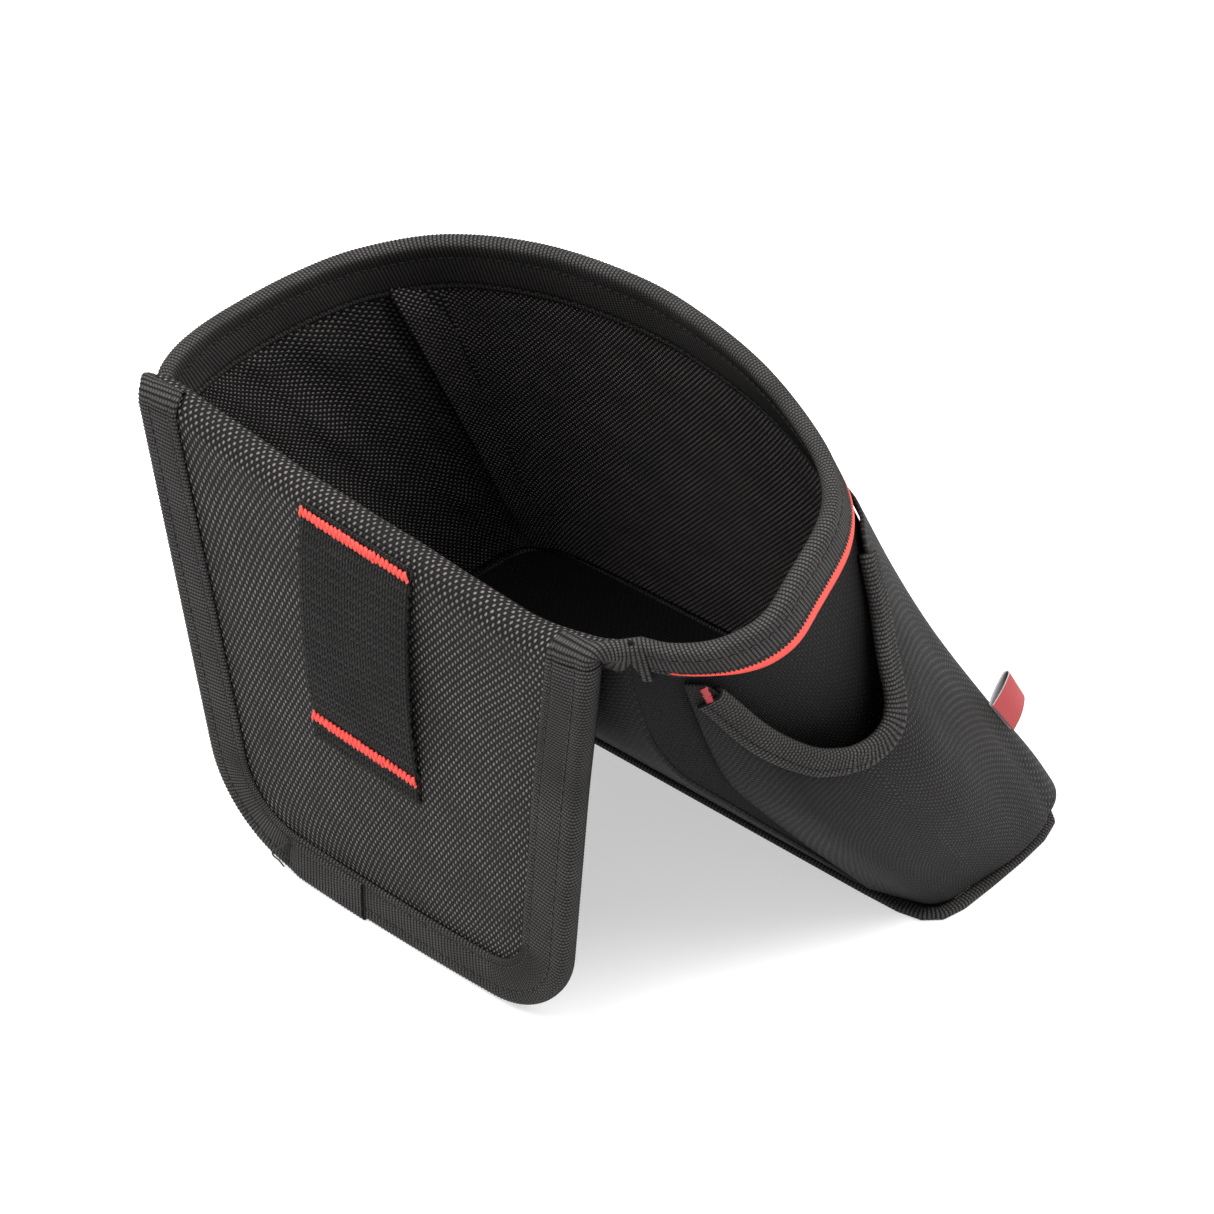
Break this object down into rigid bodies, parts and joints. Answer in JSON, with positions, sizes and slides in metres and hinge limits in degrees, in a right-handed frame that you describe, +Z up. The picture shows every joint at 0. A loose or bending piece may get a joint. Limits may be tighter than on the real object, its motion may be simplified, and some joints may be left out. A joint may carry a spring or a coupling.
{
  "type": "electrician tool pouch",
  "caption": "Slip-over electrician tool pouch in black ballistic nylon: stiff belt flap with webbing loop, bound open mouth with red trim, boarded back and a puffed side pocket.",
  "frame": {"origin": "on the floor under the middle of the whole piece as it stands open", "axes": "+Z up, +X along the fold from the far side to the near side with the pocket, +Y from the hanging flap towards the pouch"},
  "size_m": [0.208, 0.171, 0.1429],
  "materials": {
    "ballistic_cloth": "coarse plain-weave ballistic nylon, slight sheen on the yarns",
    "lining_cloth": "dull woven lining",
    "grosgrain": "cross-ribbed tape",
    "webbing": "ribbed webbing",
    "red_thread": "dense zigzag thread",
    "red_tape": "woven accent tape",
    "thread": "spun thread",
    "stiffener": "plain board, hidden",
    "label_tape": "woven satin tape, blank"
  },
  "bodies": {
    "pouch": {"fold_cloth": "ballistic_cloth", "back_outer_panel": "ballistic_cloth", "back_stiffener_board": "stiffener", "back_lining": "lining_cloth", "near_side_wall": "ballistic_cloth", "front_panel": "ballistic_cloth", "far_side_wall": "ballistic_cloth", "near_gusset_lining": "lining_cloth", "front_lining": "lining_cloth", "far_gusset_lining": "lining_cloth", "bottom_panel": "ballistic_cloth", "bottom_seam_binding": "grosgrain", "mouth_binding": "grosgrain", "red_piping": "red_tape", "side_pocket_shell": "ballistic_cloth", "side_pocket_binding": "grosgrain", "pocket_corner_bartack": "red_thread"},
    "flap": {"flap_outer_panel": "ballistic_cloth", "flap_inner_panel": "lining_cloth", "flap_stiffener_board": "stiffener", "flap_edge_binding": "grosgrain", "binding_overlap": "grosgrain", "thread_tail": "thread", "belt_loop_webbing": "webbing", "upper_loop_bartack": "red_thread", "lower_loop_bartack": "red_thread"},
    "label": {"label_tag": "label_tape"}
  },
  "joints": [
    {"name": "flap_fold", "type": "hinge", "parent": "pouch", "child": "flap", "pos_m": [-0.00877, -0.07654, 0.1374], "axis": [1, 0, 0], "range_deg": [-110, 8], "deforming": ["fold_cloth"]},
    {"name": "label_flex", "type": "hinge", "parent": "pouch", "child": "label", "pos_m": [0.08831, 0.06155, 0.03965], "axis": [-0.2137, -0.5107, 0.8328], "range_deg": [-20, 20], "stiffness_Nm_per_rad": 0.0005}
  ]
}
